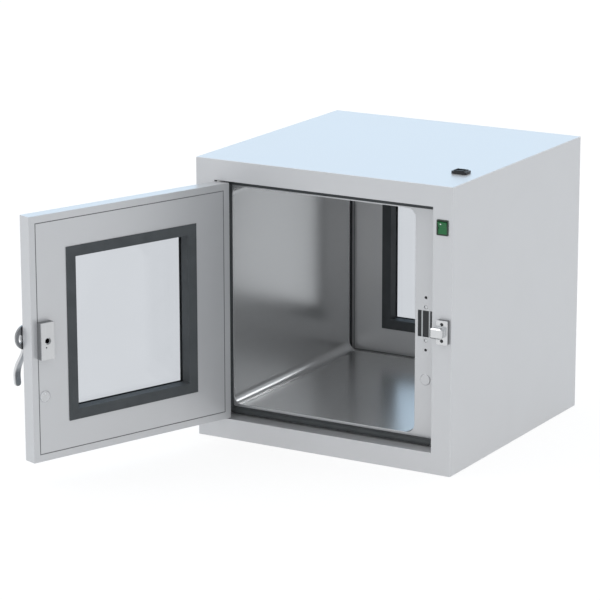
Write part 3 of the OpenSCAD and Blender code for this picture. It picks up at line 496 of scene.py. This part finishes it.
def lever_spindle():
    """Sections of the spindle, its shoulder and its domed cap: one profile turned about the lever's axis."""
    dome = np.linspace(0.15, 1.52, 8)
    cap = np.stack((CAP_RADIUS * np.cos(dome), CAP_FOOT + CAP_RISE * np.sin(dome)), -1)
    radius, reach = np.concatenate((SPINDLE_PROFILE, cap)).T[..., None]
    angle = np.linspace(0.0, 2.0 * np.pi, 48, endpoint=False)
    return np.stack((radius * np.cos(angle), np.repeat(reach, 48, 1), radius * np.sin(angle)), -1)


def inner_face(arm):
    """How much shade is painted on each point of the arm: nought outside, and most on the grip's face towards the
    door.

    A point's depth is its distance inwards from the section's middle, as a share of half the thickness.
    """
    out = arm[..., 1]
    depth = np.clip(((out.max(1) + out.min(1))[:, None] / 2 - out) / (LEVER_THICK / 2), 0.0, 1.0)
    return (SHADE_NECK + (1.0 - SHADE_NECK) * ease(-arm[..., 2], *SHADING_ALONG)) * ease(depth, *SHADE_DEPTH)


def skin_faces(sections, ring=False):
    """Faces of a skin over these sections, with a cap at each end unless the last section meets the first.

    The volume inside, summed over the quads, comes out negative where they face inwards. All are then reversed.
    """
    points = sections.reshape(-1, 3)
    index = np.arange(len(points)).reshape(sections.shape[:2])
    onward = np.roll(index, -1, 0)
    quads = np.stack((index, np.roll(index, -1, 1), np.roll(onward, -1, 1), onward), -1)
    quads = (quads if ring else quads[:-1]).reshape(-1, 4)
    corners = points[quads]
    swept = np.cross(corners[:, 2] - corners[:, 0], corners[:, 3] - corners[:, 1])
    faces = quads.tolist() + ([] if ring else [index[0][::-1].tolist(), index[-1].tolist()])
    if (swept * (corners.mean(1) - points.mean(0))).sum() < 0.0:
        faces = [face[::-1] for face in faces]
    return faces


def mesh_piece(name, look, points, faces):
    """One object made of these points and faces."""
    mesh = bpy.data.meshes.new(name)
    mesh.from_pydata(points.reshape(-1, 3).tolist(), [], faces)
    mesh.materials.append(MATERIALS[look])
    piece = bpy.data.objects.new(name, mesh)
    bpy.context.collection.objects.link(piece)
    return piece


def latch_lever(name, hub, across, outwards):
    """A lever as one smooth mesh of two closed skins, the arm and the spindle, with painted shade marked on its
    inner face.
    """
    axes = np.array((across, outwards, (0.0, 0.0, 1.0)))
    arm, spindle = lever_arm(), lever_spindle()
    placed = hub + arm @ axes, hub + spindle @ axes
    count = arm.size // 3
    faces = skin_faces(placed[0]) + [[corner + count for corner in face] for face in skin_faces(placed[1])]
    lever = mesh_piece(name, "lever_steel", np.concatenate([skin.reshape(-1, 3) for skin in placed]), faces)
    # Painted shade on the arm's face towards the door, none on the spindle
    inner_shade = np.concatenate((inner_face(arm).ravel(), np.zeros(spindle.size // 3)))
    mark = lever.data.attributes.new("inner_face", "FLOAT", "POINT")
    mark.data.foreach_set("value", inner_shade.astype(np.float32))
    lever.data.polygons.foreach_set("use_smooth", [True] * len(faces))
    return lever


def panel_seam(name, corner, across, outwards, height):
    """A flat dark bead of painted shade in the seam round a door's inner panel: a lens section taken round a
    rectangle.
    """
    angle = np.linspace(0.0, 2.0 * np.pi, 12, endpoint=False)
    aside, proud = SEAM_HALF * np.cos(angle), SEAM_PROUD * np.sin(angle)
    near, far, top = SEAM_IN - aside, DOOR_WIDTH - SEAM_IN + aside, height - SEAM_IN + aside
    u, w = np.stack((near, far, far, near)), np.stack((near, near, top, top))
    points = (corner + u[..., None] * across + w[..., None] * np.array((0.0, 0.0, 1.0))
              - (DOOR_THICK + proud)[:, None] * outwards)
    return mesh_piece(name, "seam_painted_shade", points, skin_faces(points, ring=True))


def door_details():
    """Each door's lever, which turns with its own spindle, and the dark bead of painted shade in the seam of its
    inner face.
    """
    for end, sign in (("front", -1.0), ("rear", 1.0)):
        joint = next(entry for entry in frame["joints"] if entry["name"] == end + "_lever_turn")
        outwards = sign * np.array(joint["axis"], dtype=float)
        across = -sign * np.cross((0.0, 0.0, 1.0), outwards)
        hub = np.array(joint["pos_m"]) - JOINT_OUT * outwards
        lever = latch_lever(end + "_lever_grip", hub, across, outwards)
        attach(lever, end + "_lever")
        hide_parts(end + "_latch_lever")
        low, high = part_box(end + "_door_tray")
        corner = hub - (DOOR_WIDTH - HUB_IN) * across
        corner[2] = low[2]
        seam = panel_seam(end + "_panel_seam", corner, across, outwards, high[2] - low[2])
        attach(seam, end + "_door")


# ---------- Surroundings ----------

def patch_mask(tree, way, towards, edge, full):
    """One where the direction lies within a round patch of light, and nought outside it."""
    return remap(tree, measure(tree, "DOT_PRODUCT", way, Vector(towards).normalized()), edge, full, 0.0, 1.0)


def surroundings():
    """A pale sky above the horizon, a pale ground below it and the light patches; white straight to the camera."""
    world = bpy.data.worlds.new("studio")
    bpy.context.scene.world = world
    world.use_nodes = True
    tree = world.node_tree
    tree.nodes.clear()
    way = tree.nodes.new("ShaderNodeTexCoord").outputs["Generated"]
    up = put(tree, "ShaderNodeSeparateXYZ", Vector=way)
    colour = blend_colour(tree, remap(tree, up.outputs["Z"], *HORIZON, 0.0, 1.0), GROUND_LIGHT, SKY_LIGHT)
    for towards, edge, full, light in LIGHT_PATCHES:
        colour = blend_colour(tree, patch_mask(tree, way, towards, edge, full), colour, light)
    lit = put(tree, "ShaderNodeBackground", Color=colour, Strength=1.0)
    seen = put(tree, "ShaderNodeBackground", Color=(1.0, 1.0, 1.0), Strength=1.0)
    looked_at = tree.nodes.new("ShaderNodeLightPath").outputs["Is Camera Ray"]
    blend_shaders(tree, looked_at, lit, seen, put(tree, "ShaderNodeOutputWorld").inputs["Surface"])


def pale_floor():
    """A wide pale floor. To the camera, in mirrors and through glass it is mostly plain white."""
    mesh = bpy.data.meshes.new("floor")
    signs = ((-1, -1), (1, -1), (1, 1), (-1, 1))
    mesh.from_pydata([(x * FLOOR_HALF, y * FLOOR_HALF, 0) for x, y in signs], [], [(0, 1, 2, 3)])
    floor = bpy.data.objects.new("floor", mesh)
    floor.location.z = -FLOOR_DROP
    bpy.context.collection.objects.link(floor)
    material, tree, shader = fresh_material("pale_floor")
    shader.inputs["Roughness"].default_value = 0.9
    age = use(tree, HANDLED, Size=1.5)
    feed(tree, shader, "Base Color",
         blend_colour(tree, spread(tree, age["Cloud"], 0.0, 1.0), FLOOR_DARK, FLOOR_PALE))
    path = tree.nodes.new("ShaderNodeLightPath").outputs
    looked_at = maths(tree, "ADD", maths(tree, "ADD", path["Is Camera Ray"], path["Is Glossy Ray"]),
                      path["Is Transmission Ray"], clamp=True)
    white = put(tree, "ShaderNodeEmission", Color=(1.0, 1.0, 1.0), Strength=FLOOR_WHITE)
    blend_shaders(tree, maths(tree, "MULTIPLY", looked_at, FLOOR_GLOW), shader, white,
                  tree.nodes["Material Output"].inputs["Surface"])
    mesh.materials.append(material)


def camera():
    """The view from the front right, a little above the cabinet's top."""
    back = Vector((sin(VIEW_TURN) * cos(VIEW_RISE), -cos(VIEW_TURN) * cos(VIEW_RISE), sin(VIEW_RISE)))
    right = Vector((0, 0, 1)).cross(back).normalized()
    up = back.cross(right)
    right, up = (right * cos(VIEW_ROLL) + up * sin(VIEW_ROLL),
                 up * cos(VIEW_ROLL) - right * sin(VIEW_ROLL))
    data = bpy.data.cameras.new("view")
    data.lens = VIEW_LENS
    data.sensor_width = VIEW_SENSOR
    data.clip_end = VIEW_END
    view = bpy.data.objects.new("view", data)
    turned = Matrix((right, up, back)).transposed().to_4x4()
    view.matrix_world = Matrix.Translation(VIEW_FROM) @ turned
    bpy.context.collection.objects.link(view)
    bpy.context.scene.camera = view


dress_cad_nodes()
door_details()
surroundings()
pale_floor()
camera()
bpy.context.scene.view_settings.view_transform = "Standard"
